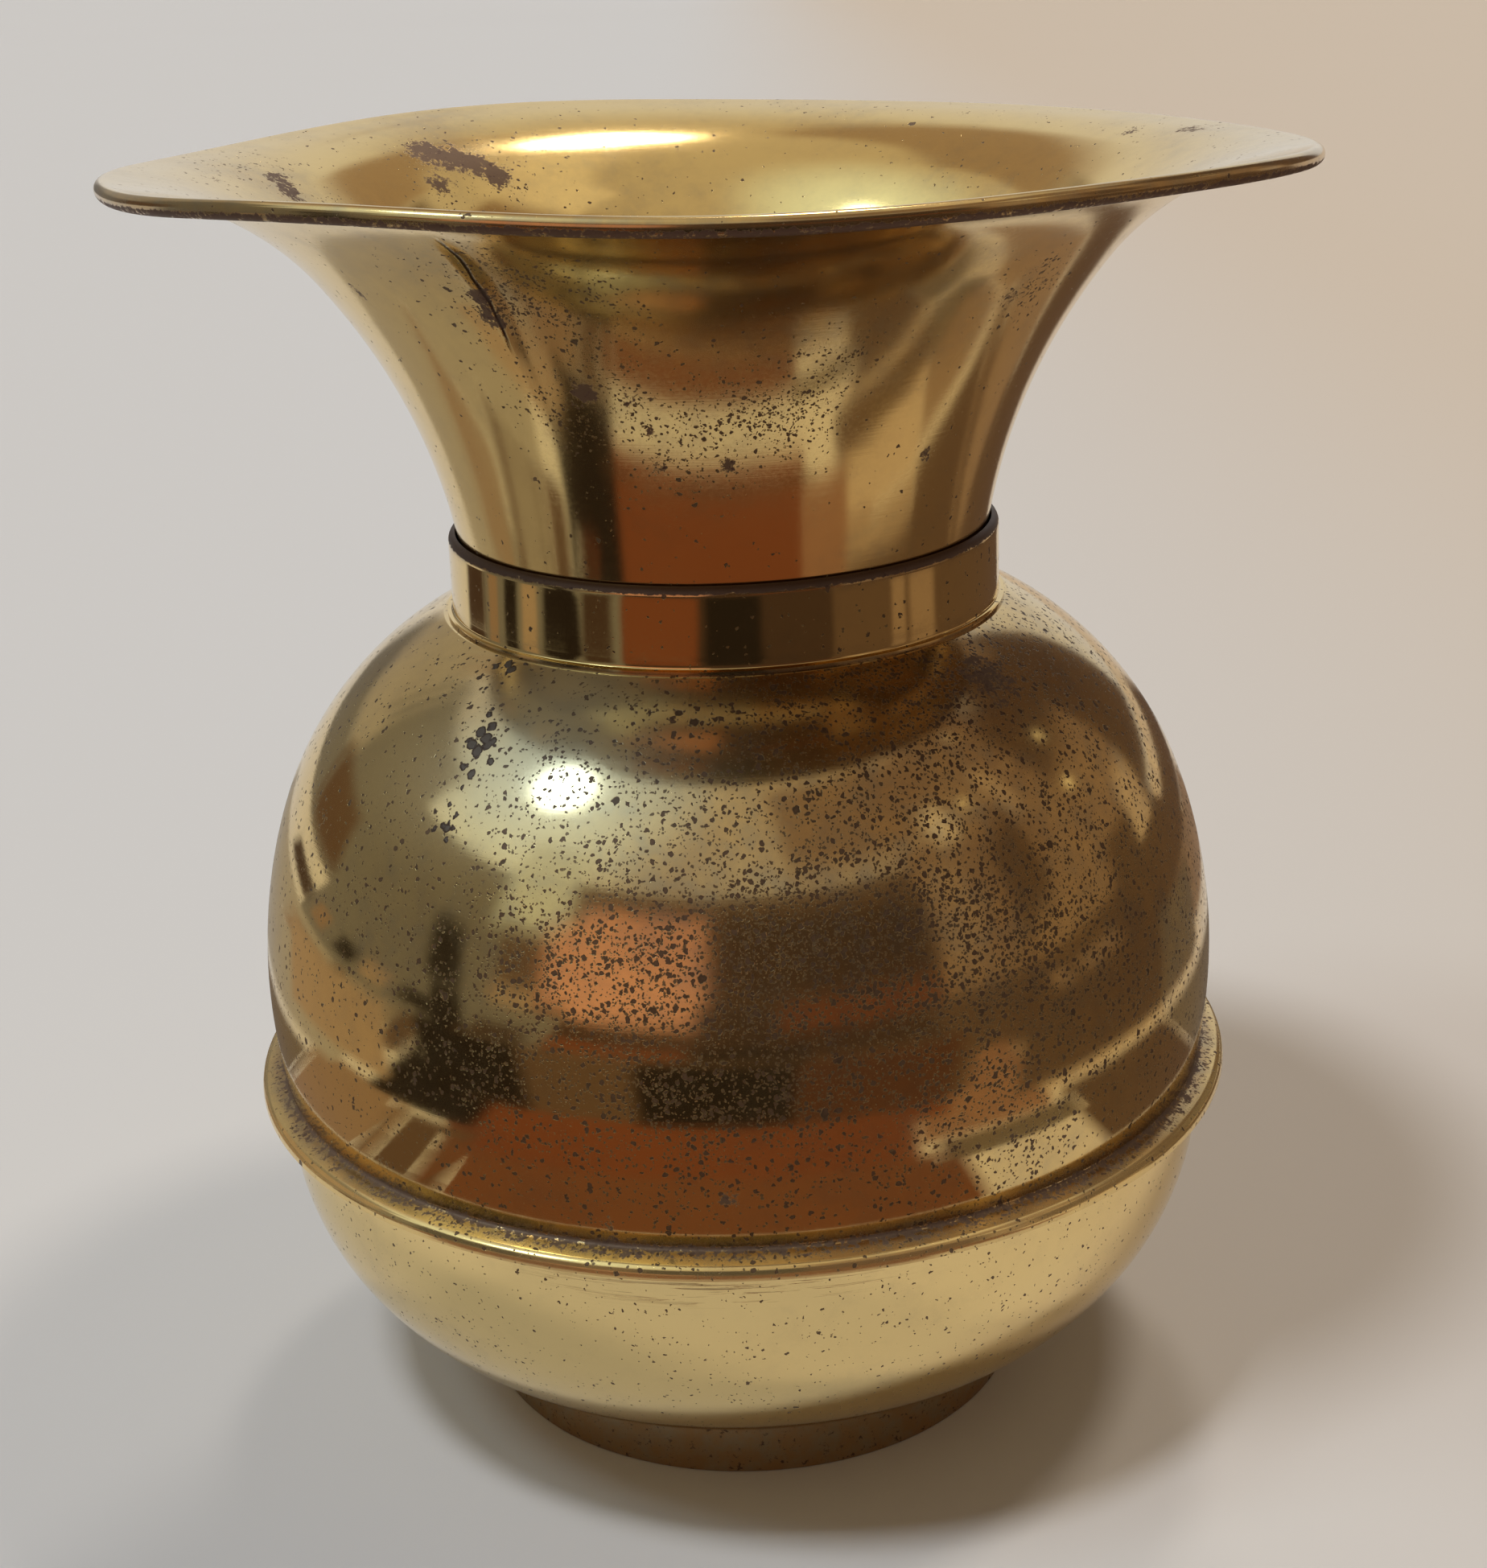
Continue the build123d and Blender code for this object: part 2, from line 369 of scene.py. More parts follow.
around = rim_lift(np.arange(0, 360, 5))
print("rim stands %.1f to %.1f mm off its level" % (around.min(), around.max()))

# %% [markdown]
# The fall also left a short fold in the flare, where the sheet steps back sharply along one line and
# comes out again slowly to the right of it. It is pushed in along the wall's own normal, on both
# faces together, so that the sheet keeps its thickness.

# %% Bending the rim and the fold
FOLD_ANGLE, FOLD_RADIUS, FOLD_REACH, FOLD_DEPTH = 242, 85, 8, 0.9
FOLD_START, FOLD_STEP, FOLD_FADE, FOLD_SIDE = 0.9, 1.9, 10, 60


def bend_rim(spots, where):
    """Lifts the flared part of the funnel, nothing at the neck and all of it at the rim."""
    angle, radius, _, heading, _ = where.T
    bent = spots.copy()
    flare = np.clip((radius - STIFF_RADIUS) / (RIM_RADIUS - STIFF_RADIUS), 0, 1)
    bent[:, 2] += rim_lift(angle) * flare ** 2

    across = np.radians(angle - FOLD_ANGLE) * radius
    step = np.clip((across + FOLD_START) / FOLD_STEP, 0, 1)
    step *= np.exp(-np.clip(across, 0, None) / FOLD_FADE) * (np.abs(across) < FOLD_SIDE)
    depth = -FOLD_DEPTH * step * np.exp(-0.5 * ((radius - FOLD_RADIUS) / FOLD_REACH) ** 2)
    turn = np.radians(angle)
    bent[:, 0] += depth * np.sin(heading) * np.cos(turn)
    bent[:, 1] += depth * np.sin(heading) * np.sin(turn)
    bent[:, 2] -= depth * np.cos(heading)
    return bent


# %% Funnel
SKIRT_SLOPE, NECK_SLOPE, BRIM_SLOPE = 9.4, 38.7, 81  # degrees away from upright

funnel_section = (
    SheetSection(52.49, 176.09, 90 - SKIRT_SLOPE)
    .run(16.38)  # skirt inside the collar
    .bend(117.0, SKIRT_SLOPE - NECK_SLOPE)
    .bend(52.8, NECK_SLOPE - BRIM_SLOPE, 1.6)  # flare
    .run(5, 1.2)  # brim
    .bend(0.95, -270, 0.2)  # rolled edge
)
funnel, funnel_where, funnel_spots = spin(
    "funnel_trumpet", funnel_section.faces(SHEET, LEFT), "funnel",
    wave=0.05, bruise=bend_rim, replaces="funnel",
)

# %% Rim wire
WIRE_REACH, WIRE_LEVEL, WIRE_RADIUS, WIRE_SIDES = 117.28, 265.25, 0.9, 12

wire_section = [
    (
        WIRE_REACH + WIRE_RADIUS * math.cos(turn), WIRE_LEVEL + WIRE_RADIUS * math.sin(turn),
        turn + math.pi / 2, 1.0,
    )
    for turn in np.arange(WIRE_SIDES) * (2 * math.pi / WIRE_SIDES)
]
rim_wire, _, _ = spin(
    "rim_core_wire", wire_section, "funnel", bruise=bend_rim, replaces="rim_wire",
)

# %% [markdown]
# ## Where the wear and the painted shade sit
#
# Tarnish, pits and stains aren't spread evenly: they follow how the thing was held, wiped and stood,
# and in a few places painted shade is laid on with them. Each shell therefore carries a few soft
# fields, one number at every point of its mesh: tarnish is the brown film, in places with
# painted shade, pits are the dots, blots are stains, in places with painted shade, slate is
# a grey crust, haze is a milky bloom with a painted glow, scored and rubbed are marks of use,
# and fold says where the crease in the funnel is. The finish then breaks these fields up with fine
# noise, so that a soft blob in the mesh turns into a ragged stain on the metal. Painting a picture on
# the shell would do the same, but numbers in the mesh need no unwrapping and stay sharp at any
# distance.

# %% Fields on a shell
FIELDS = ("tarnish", "pits", "blots", "slate", "haze", "scored", "rubbed", "fold")


def keep_fields(shell, **fields):
    """A number or an array for each field; those that aren't named stay 0."""
    for name in FIELDS:
        values = np.zeros(len(shell.data.vertices)) + fields.get(name, 0.0)
        layer = shell.data.attributes.new(name, "FLOAT", "POINT")
        layer.data.foreach_set("value", values.astype(np.float32))
    print(shell.name, "carries", sorted(fields))


def place_on(angle, radius, height):
    turn = math.radians(angle)
    return np.array((radius * math.cos(turn), radius * math.sin(turn), height))


def stains(spots, marks):
    """Adds up soft round stains: angle, radius, height, half width in mm, strength."""
    total = np.zeros(len(spots))
    for angle, radius, height, size, strength in marks:
        away = np.linalg.norm(spots - place_on(angle, radius, height), axis=1)
        total += strength * np.exp(-0.5 * (away / size) ** 2)
    return total


def rise(values, low, high):
    """0 below low, 1 above high, and a smooth slope between."""
    t = np.clip((values - low) / (high - low), 0, 1)
    return t * t * (3 - 2 * t)


def band(values, middle, width):
    """1 at the middle, fading away over about width on both sides."""
    return np.exp(-0.5 * ((values - middle) / width) ** 2)


# %% [markdown]
# The right half of the belly was wiped least, so it is the most pitted, and the crease over the bead
# never was. Just under the collar at the front right the shoulder has more film, dots and stains.
# This darkening is partly tarnish and partly painted shade for the dark underside of the funnel that
# it mirrors. A grey crust has grown in a few places on the left of the shoulder, and the polish there
# has gone milky, with a painted pale glow round the window's highlight. The inside was never polished
# at all, so it is brown all over.

# %% Wear, painted shade and painted glow of the upper bowl
INSIDE_PITS = 0.3

angle, radius, height, heading, outside = upper_where.T
crease = band(height, 77.9, 0.6) * (radius > 99)
bead = rise(radius, 102.0, 103.0) * (height < 77.6)
thick_with_dots = [(256, 10, 117, 16, 0.42), (270, 16, 142, 7, 0.40), (296, 10, 122, 20, 0.50)]
drifts = sum(
    weight * bump(angle, middle, wide) * band(height, at, tall)
    for middle, wide, at, tall, weight in thick_with_dots
)
uncared = bump(angle, 302, 34) * band(height, 136, 30)
front = bump(angle, 268, 26) * band(height, 126, 20)
shoulder = rise(height, 150, 172)
# Under the collar at the front right: more film, dots and stains, partly tarnish and partly painted
# shade where the shoulder mirrors the funnel's dark underside.
film_and_shade_by_collar = bump(angle, 294, 32) * band(height, 172, 6)
film_and_shade = 0.19 + 0.30 * uncared + 0.06 * shoulder + 0.45 * film_and_shade_by_collar + 0.8 * crease
dots = 0.11 + 0.54 * uncared + 0.30 * front + drifts + 0.45 * film_and_shade_by_collar + 0.2 * crease
belly_stains = [
    (268, 102, 89, 1.4, 0.55), (255, 100.5, 82, 2.2, 0.34), (226, 101, 83, 3, 0.3),
    (318, 70, 169, 7, 0.22),
]
crusts = [
    (226, 61, 175, 4.8, 0.66), (230, 73, 167, 3.6, 0.60), (232, 79, 162, 4.2, 0.66),
    (231, 87.5, 151.5, 3.4, 0.70),
]
blots = 0.20 * film_and_shade_by_collar + stains(upper_spots, belly_stains)
keep_fields(
    upper_bowl,
    tarnish=np.where(outside > 0, film_and_shade, 0.95),
    pits=np.where(outside > 0, dots, INSIDE_PITS),
    blots=0.40 * crease + 0.12 * bead + outside * blots,
    slate=outside * stains(upper_spots, crusts),
    rubbed=0.5 * outside * bead,
    # The haze makes the left of the shoulder rougher and less metallic, and also paints a pale glow
    # there round the window's highlight.
    haze=outside * rise(height, 140, 166) * bump(angle, 243, 15),
)

# %% [markdown]
# The lower bowl was out of reach of most knocks and is the cleanest shell. It is darker only in a
# narrow band near the foot and in a band just under the bead, which is painted shade under the bead's
# overhang, and it has one scored patch under the bead. The foot is brown all over, darker still under
# the dish, which is painted shade from the bowl above, and along the edge it stands on. The collar is
# bright, and the top of its rolled lip is darkened with painted shade from the gap under the funnel.

# %% Wear and painted shade of the lower bowl, foot and collar
INSIDE_FILM = 0.9

angle, radius, height, heading, outside = lower_where.T
# The band at 74 mm, just under the bead, is painted shade; the one at 14.5 mm is a darker band near
# the foot.
film_and_shade = 0.08 + 0.5 * band(height, 74, 1.0) + 0.2 * band(height, 14.5, 1.5)
dish_stains = [(262, 93, 44, 2.2, 0.34), (311, 97, 56, 3.0, 0.33), (232, 90, 38, 2.6, 0.34)]
keep_fields(
    lower_bowl,
    tarnish=np.where(outside > 0, film_and_shade, INSIDE_FILM),
    pits=np.where(outside > 0, 0.035 + 0.03 * bump(angle, 285, 40), INSIDE_PITS),
    scored=outside * band(height, 69.5, 2.0) * bump(angle, 266, 9),
    blots=outside * stains(lower_spots, dish_stains),
)

height = foot_where[:, 2]
# The rise near the top, under the dish, is painted shade from the bowl above.
film_and_shade = 0.66 + 0.25 * rise(height, 9, 13.5) + 0.15 * rise(-height, -3, 0)
keep_fields(foot_ring, tarnish=film_and_shade, blots=0.21)

height, outside = collar_where[:, 2], collar_where[:, 4]
# The rise in film and stains at the top of the lip is painted shade from the gap under the funnel.
film_and_shade = 0.06 + 0.7 * rise(height, 190.6, 192.2) + 0.2 * band(height, 178.0, 0.9)
keep_fields(
    collar,
    tarnish=np.where(outside > 0, film_and_shade, INSIDE_FILM),
    pits=0.05,
    blots=0.5 * rise(height, 190.9, 192.2),
)

# %% [markdown]
# Outside, the fall left dark bruises by the fold, with fields of specks round them and down to the
# neck, and under the brim at the front the outside is darker. Inside the funnel there are a few old
# stains. On the rim the inner face of the sheet turns over and under, and this roll is browner than
# the rest; its underside is darker still with painted shade.

# %% Wear and painted shade of the funnel
angle, radius, height, heading, outside = funnel_where.T
inside = 1 - outside
roll = inside * rise(-np.degrees(heading), 0, 40)
# The underside of the roll is darker with painted shade.
under_roll_shade = inside * rise(-np.degrees(heading), 75, 120)
under_brim = outside * bump(angle, 275, 34) * band(height, 255, 9)
on_flare = bump(angle, 280, 30) * band(height, 243, 12)
bruises = [
    (241, 83, 251, 1.9, 0.55), (240, 79, 246, 1.7, 0.50), (250, 69, 232, 2.0, 0.62),
    (246, 72, 235, 2.0, 0.36), (257, 69, 231, 2.2, 0.34), (259, 65, 224, 1.1, 0.55),
    (259, 62, 217, 2.0, 0.38), (235, 61, 213, 0.9, 0.5), (271, 62, 217, 2.0, 0.42),
    (278, 66, 225, 2.5, 0.26), (313, 78, 245, 3.0, 0.30), (320, 80, 247, 3.0, 0.32),
    (309, 61, 215, 1.8, 0.44), (217, 81, 249, 2.4, 0.34), (239.6, 83, 251.0, 0.8, 0.4),
    (240.4, 80.5, 248.5, 0.8, 0.4), (241.4, 77.5, 244.5, 0.8, 0.4),
]
speck_fields = [
    (246, 86, 253, 7, 0.40), (252, 80, 247, 8, 0.40), (257, 69, 231, 4, 0.35),
    (273, 67, 228, 6, 0.42), (282, 66, 226, 5, 0.36), (287, 72, 236, 5, 0.40),
    (246, 68, 228, 6, 0.30), (262, 63, 219, 6, 0.28), (316, 79, 246, 5, 0.34),
    (241, 80, 247, 5, 0.35),
]
old_stains = [
    (132, 98, 262.5, 4.2, 0.46), (127, 93, 260, 4.2, 0.46), (123, 88, 256, 3.4, 0.44),
    (134, 88, 256, 3.6, 0.38), (129, 80, 248, 4.0, 0.28), (160, 97, 261.5, 3.0, 0.46),
    (163, 92, 259, 3.0, 0.44), (172, 102, 264, 4.0, 0.28), (20, 109, 266, 4.5, 0.38),
    (28, 104, 264, 4, 0.3),
]
inner_film = [
    (163, 94, 260, 7, 0.2), (19, 110, 266, 9, 0.25), (128, 94, 261, 12, 0.25),
    (150, 75, 240, 14, 0.25),
]
inner_specks = [(128, 90, 258, 9, 0.22), (160, 100, 263, 9, 0.16)]
film_and_shade = 0.10 + 0.30 * roll + 0.30 * under_roll_shade + 0.34 * under_brim + 0.10 * on_flare
specks = 1.3 * outside * stains(funnel_spots, speck_fields)
dark = outside * stains(funnel_spots, bruises) + inside * stains(funnel_spots, old_stains)
keep_fields(
    funnel,
    tarnish=film_and_shade + inside * (0.08 + stains(funnel_spots, inner_film)),
    pits=0.02 + specks + inside * stains(funnel_spots, inner_specks),
    blots=dark + 0.40 * under_roll_shade,
    fold=outside * bump(angle, FOLD_ANGLE, 9) * band(radius, 86, 9),
)

# %% [markdown]
# ## Worn brass
#
# Polished brass is a clear mirror. What makes it look old is the thin brown film over it, the pits
# where the film has eaten in, and the fine rings left by the spinner's tool. All the brass here is
# one recipe with these layers, and each shell gets its own amounts. The recipe measures in
# millimetres on the piece itself, so the layers keep their true scale. Nodes could be wired one by
# one, but a few short words for the common ones let the recipe be read like a list.

# %% A finish as a node tree
def add_node(tree, kind, inputs=None, **settings):
    """Adds a node. An input is a value, or a socket of another node that it is linked to."""
    made = tree.nodes.new(kind)
    for key, value in settings.items():
        setattr(made, key, value)
    for key, value in (inputs or {}).items():
        if isinstance(value, bpy.types.NodeSocket):
            tree.links.new(value, made.inputs[key])
        else:
            made.inputs[key].default_value = value
    return made


class Finish:
    def __init__(self, name):
        self.material = bpy.data.materials.new(name)
        self.material.use_nodes = True
        self.tree = self.material.node_tree
        self.shader = self.tree.nodes["Principled BSDF"]
        on_piece = self.node("ShaderNodeTexCoord").outputs["Object"]
        self.place = self.vector("SCALE", {0: on_piece, "Scale": float(PER_METRE)}).outputs[0]

    def node(self, kind, inputs=None, **settings):
        return add_node(self.tree, kind, inputs, **settings)

    def vector(self, operation, inputs):
        return self.node("ShaderNodeVectorMath", inputs, operation=operation)

    def maths(self, operation, *values):
        return self.node("ShaderNodeMath", dict(enumerate(values)), operation=operation).outputs[0]

    def sum(self, first, second, times=1.0):
        """first + second * times"""
        return self.maths("MULTIPLY_ADD", second, times, first)

    def times(self, first, second):
        return self.maths("MULTIPLY", first, second)

    def most(self, first, second):
        return self.maths("MAXIMUM", first, second)

    def fade(self, value, low, high):
        """0 up to low, 1 from high, smooth between."""
        limits = {"Value": value, "From Min": low, "From Max": high}
        return self.node("ShaderNodeMapRange", limits, interpolation_type="SMOOTHSTEP").outputs[0]

    def field(self, name):
        return self.node("ShaderNodeAttribute", attribute_name=name).outputs["Fac"]

    def mottle(self, size, detail=4.0, rough=0.6, place=None):
        """Cloudy noise whose clouds are about size mm across."""
        clouds = {
            "Vector": place or self.place, "Scale": 1.0 / size, "Detail": detail, "Roughness": rough,
        }
        return self.node("ShaderNodeTexNoise", clouds).outputs["Fac"]

    def colour(self, mask, under, over):
        return self.node("ShaderNodeMix", {0: mask, 6: under, 7: over}, data_type="RGBA").outputs[2]

    def relief(self, height, distance):
        """Bumps the surface by a height that counts in units of distance, in metres."""
        bumps = {"Height": height, "Distance": distance, "Strength": 1.0}
        self.socket("Normal", self.node("ShaderNodeBump", bumps).outputs[0])

    def socket(self, name, value):
        if isinstance(value, bpy.types.NodeSocket):
            self.tree.links.new(value, self.shader.inputs[name])
        else:
            self.shader.inputs[name].default_value = value


# %% [markdown]
# The rings of the spinning tool run round the axis. Noise that is squeezed along the section and
# stretched round it gives them: it is asked at a point that hardly moves as the angle changes. A
# Wave texture gives rings as well, but too even for work done by hand.

# %% Rings of the spinning tool
def tool_rings(finish, slope, pitch):
    """Fine rings about pitch mm apart; slope says how the radius counts along the section."""
    parts = finish.node("ShaderNodeSeparateXYZ", {0: finish.place}).outputs
    flat = finish.node("ShaderNodeCombineXYZ", {0: parts[0], 1: parts[1]}).outputs[0]
    reach = finish.vector("LENGTH", {0: flat}).outputs["Value"]
    along = finish.sum(parts[2], reach, slope)
    slow_x, slow_y = finish.times(parts[0], 0.02), finish.times(parts[1], 0.02)
    squeezed = finish.node("ShaderNodeCombineXYZ", {0: slow_x, 1: slow_y, 2: along}).outputs[0]
    return finish.mottle(pitch, detail=3.0, rough=0.7, place=squeezed)


# %% [markdown]
# The brown dots come from a Voronoi texture, where each cell draws a lot: with a high field more
# cells win, and a lucky cell's dot is larger. Three sizes of cell together look like old corrosion,
# where large dots have swallowed small ones and have a dark edge and a paler middle.

# %% Brown dots
def brown_dots(finish, cell, share, largest, place):
    """Round dots in cells of cell mm, and their paler middles; share of the cells have one."""
    cells = finish.node("ShaderNodeTexVoronoi", {"Vector": place, "Scale": 1.0 / cell}).outputs
    lots = finish.node("ShaderNodeSeparateColor", {0: cells["Color"]}).outputs
    draw = {
        "Value": lots[0], "From Min": finish.sum(1.0, share, -1.0), "From Max": 1.0,
        "To Min": 0.0, "To Max": largest,
    }
    luck = finish.node("ShaderNodeMapRange", draw).outputs[0]
    inside = finish.sum(luck, cells["Distance"], -1.0)
    return finish.fade(inside, 0.0, 0.06), finish.fade(inside, 0.10, 0.26)


def dots_in_drifts(finish, dot_size, place):
    """Dots of three sizes that stand in drifts a centimetre wide, and their paler middles."""
    drifts = finish.fade(finish.mottle(12, 3.0), 0.35, 0.65)
    share = finish.times(finish.field("pits"), finish.sum(0.55, drifts, 0.7))
    few, many = finish.times(share, 0.12), finish.times(share, 1.2)
    large, large_middle = brown_dots(finish, 3.0 * dot_size, few, 0.38, place)
    small, small_middle = brown_dots(finish, 1.1 * dot_size, many, 0.56, place)
    tiny, _ = brown_dots(finish, 0.65 * dot_size, many, 0.54, place)
    dots = finish.most(finish.most(large, small), finish.times(tiny, 0.85))
    return dots, finish.most(large_middle, small_middle)


# %% [markdown]
# Stains are soft blobs in the mesh, which noise breaks up into a core and crumbs. The slate-grey
# crust grows in round blisters that run together, so it is cut out of Voronoi distances instead.
# Along the fold a thin dark line of painted shade is drawn where a plane cuts the sheet, and more
# film on its right is painted shade for the darker things that the bent sheet mirrors there.

# %% Stains, crust and the fold's painted shade
FOLD_WANDER = 1.4  # millimetres that the line of the fold strays from its plane


def ragged_stains(finish, fine):
    ragged = finish.sum(finish.times(finish.mottle(2.2, 5.0, 0.7), 0.75), fine, 0.45)
    return finish.fade(finish.sum(finish.field("blots"), ragged), 0.88, 0.96)


def grey_crust(finish, place):
    """The crust with its dark edge, and the core that is left without the edge."""
    cells = finish.node("ShaderNodeTexVoronoi", {"Vector": place, "Scale": 1.0 / 2.4}).outputs
    grown = finish.sum(finish.field("slate"), cells["Distance"], -1.0)
    return finish.fade(grown, 0.10, 0.16), finish.fade(grown, 0.15, 0.32)


def fold_shade_line(finish, facing, offset):
    """The painted shade line where a plane cuts the sheet, and the painted shade on its right side.
    """
    across = finish.vector("DOT_PRODUCT", {0: finish.place, 1: facing}).outputs["Value"]
    across = finish.sum(across, finish.mottle(6.0), FOLD_WANDER)
    across = finish.sum(across, offset + FOLD_WANDER / 2, -1.0)
    on_line = finish.sum(1.0, finish.fade(finish.maths("ABSOLUTE", across), 0.15, 0.5), -1.0)
    line = finish.times(on_line, finish.fade(finish.field("fold"), 0.35, 0.6))
    to_right = finish.sum(1.0, finish.fade(across, -0.5, 0.1), -1.0)
    return line, finish.times(to_right, finish.field("fold"))


# %% [markdown]
# The recipe lays these over each other from the metal upwards: film with its painted shade, the
# milky bloom with its painted glow, scores, dots, stains and crust. Whatever covers the metal also
# makes it less of a mirror, so the same masks turn down the metal and turn up the roughness. Heights
# are in millimetres: rings stand up a few microns, dots are eaten in, and crust stands proud.

# %% The brass recipe
CLEAN_BRASS = (0.86, 0.64, 0.27, 1)
BROWN_FILM = (0.40, 0.25, 0.12, 1)
GREY_FILM = (0.36, 0.29, 0.19, 1)
DOT_BROWN = (0.105, 0.058, 0.038, 1)
PIT_BROWN = (0.056, 0.031, 0.021, 1)
STAIN_BROWN = (0.085, 0.050, 0.040, 1)
# The pale colour of the milky bloom is a painted glow round the window's highlight.
PAINTED_GLOW = (0.60, 0.61, 0.47, 1)
SLATE = (0.125, 0.106, 0.088, 1)
MILLIMETRE = 0.001


def worn_brass(
    name, slope, polish, film_strength, ring_depth=0.004, dot_size=1.0,
    stain=STAIN_BROWN, clean=CLEAN_BRASS, fold=None,
):
    finish = Finish(name)
    rings = tool_rings(finish, slope, 0.9)
    middle = finish.mottle(5.0, 6.0, 0.65)
    fine = finish.mottle(0.7, 3.0)
    rubbed, haze = finish.field("rubbed"), finish.field("haze")

    # Brown film, thin in the clouds of the broad noise and thick where the field says so, and painted
    # shade where the field carries it.
    doubt = finish.sum(finish.times(finish.mottle(36, 5.0), 0.9), middle, 0.5)
    film_and_shade = finish.fade(finish.sum(finish.field("tarnish"), doubt), 0.75, 1.45)
    # The fold's painted shade: a dark line along the crease, and more film on its right.
    if fold:
        line, fold_shaded_side = fold_shade_line(finish, *fold)
        film_and_shade = finish.most(film_and_shade, finish.times(fold_shaded_side, 0.9))

    wobble = {"Vector": finish.place, "Scale": 0.9, "Detail": 2.0}
    wobble = finish.node("ShaderNodeTexNoise", wobble).outputs["Color"]
    shifted = {0: wobble, 1: (1.3, 1.3, 1.3), 2: finish.place}
    shifted = finish.vector("MULTIPLY_ADD", shifted).outputs[0]
    dots, middles = dots_in_drifts(finish, dot_size, shifted)
    stained = ragged_stains(finish, fine)
    crust, crust_core = grey_crust(finish, shifted)
    scores = finish.fade(tool_rings(finish, 0.0, 0.55), 0.55, 0.60)
    scores = finish.times(scores, finish.field("scored"))

    film_colour = finish.colour(finish.fade(middle, 0.35, 0.7), BROWN_FILM, GREY_FILM)
    colour = finish.colour(finish.times(film_and_shade, film_strength), clean, film_colour)
    # Painted glow: a pale colour laid round the window's highlight on the shoulder.
    colour = finish.colour(finish.times(haze, 0.7), colour, PAINTED_GLOW)
    colour = finish.colour(finish.times(scores, 0.6), colour, DOT_BROWN)
    dot_colour = finish.colour(middles, PIT_BROWN, DOT_BROWN)
    colour = finish.colour(finish.times(dots, 0.92), colour, dot_colour)
    colour = finish.colour(finish.times(stained, 0.92), colour, stain)
    colour = finish.colour(crust, colour, finish.colour(crust_core, PIT_BROWN, SLATE))
    # The fold's painted shade line.
    if fold:
        colour = finish.colour(line, colour, PIT_BROWN)
    finish.socket("Base Color", colour)

    covered = {0: finish.sum(stained, dots, 0.9), 1: crust}
    spoiled = finish.node("ShaderNodeMath", covered, operation="ADD", use_clamp=True).outputs[0]
    metal = finish.sum(finish.sum(1.0, spoiled, -0.45), film_and_shade, -0.05)
    finish.socket("Metallic", finish.sum(finish.sum(metal, rubbed, -0.35), haze, -0.55))
    rough = finish.sum(finish.sum(polish, film_and_shade, 0.06), haze, 0.06)
    rough = finish.sum(finish.sum(rough, spoiled, 0.36), rubbed, 0.12)
    rough = finish.sum(rough, finish.fade(fine, 0.4, 0.7), 0.03)
    finish.socket("Roughness", finish.sum(rough, rings, 0.03))

    relief = finish.sum(finish.times(rings, ring_depth), dots, -0.03)
    relief = finish.sum(relief, scores, -0.02)
    relief = finish.sum(relief, finish.times(film_and_shade, middle), 0.008)
    relief = finish.sum(relief, crust_core, 0.10)
    if fold:
        relief = finish.sum(relief, line, -0.10)
    finish.relief(relief, MILLIMETRE)
    return finish.material


# %% [markdown]
# Each shell now gets its own amounts. The collar is the brightest mirror and the foot the dullest.
# Old stains are paler on the belly than on the funnel, and almost black-brown on the foot.

# %% Coats of brass
BELLY_STAIN = (0.15, 0.10, 0.075, 1)
FUNNEL_STAIN = (0.105, 0.056, 0.042, 1)
FOOT_STAIN = (0.075, 0.043, 0.024, 1)
DISH_BRASS = (0.88, 0.675, 0.31, 1)
# The foot's brass is darker than clean brass, partly from tarnish and partly as painted shade from
# the bowl above it.
FOOT_BRASS_AND_SHADE = (0.33, 0.205, 0.09, 1)
FOLD_PLANE = ((-0.895, 0.443, 0.044), 14.3)  # the way it faces, and its distance from the axis


def coat(shell, material):
    shell.data.materials.clear()
    shell.data.materials.append(material)


coat(upper_bowl, worn_brass(
    "upper_bowl_brass", slope=-0.6, polish=0.07, film_strength=0.8, ring_depth=0.006,
    stain=BELLY_STAIN,
))
coat(lower_bowl, worn_brass(
    "lower_bowl_brass", slope=0.6, polish=0.08, film_strength=0.7, dot_size=0.7, clean=DISH_BRASS,
))
coat(collar, worn_brass("collar_brass_finish", slope=0.3, polish=0.06, film_strength=0.85))
coat(funnel, worn_brass(
    "funnel_brass_finish", slope=0.6, polish=0.09, film_strength=0.75, dot_size=0.8,
    stain=FUNNEL_STAIN, fold=FOLD_PLANE,
))
coat(foot_ring, worn_brass(
    "foot_brass_finish", slope=0.3, polish=0.28, film_strength=0.95, ring_depth=0.01,
    stain=FOOT_STAIN, clean=FOOT_BRASS_AND_SHADE,
))
print("brass finishes:", [m.name for m in bpy.data.materials if "brass" in m.name])

# %% [markdown]
# ## Wire and solder
#
# The wire sits inside the roll and the solder inside the joints, so both are hardly seen, but a pose
# with the funnel lifted can show an edge of them. The wire is drawn steel gone brown, and the solder
# is dull grey with the lumpy skin that it sets with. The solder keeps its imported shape, because a
# small fillet needs nothing finer, and only its material is new.

# %% Wire and solder
WIRE_GREY, WIRE_BROWN = (0.40, 0.37, 0.33, 1), (0.20, 0.13, 0.08, 1)
SOLDER_GREY, SOLDER_DARK = (0.42, 0.41, 0.39, 1), (0.16, 0.14, 0.12, 1)
LUMP_HEIGHT = 0.00015


def dull_metal(name, bright, dark, grain, rough):
    finish = Finish(name)
    lumps = finish.mottle(grain, 4.0)
    finish.socket("Base Color", finish.colour(finish.fade(lumps, 0.35, 0.65), dark, bright))
    finish.socket("Metallic", 1.0)
    finish.socket("Roughness", finish.sum(rough, lumps, 0.25))
    finish.relief(lumps, LUMP_HEIGHT)
    return finish.material


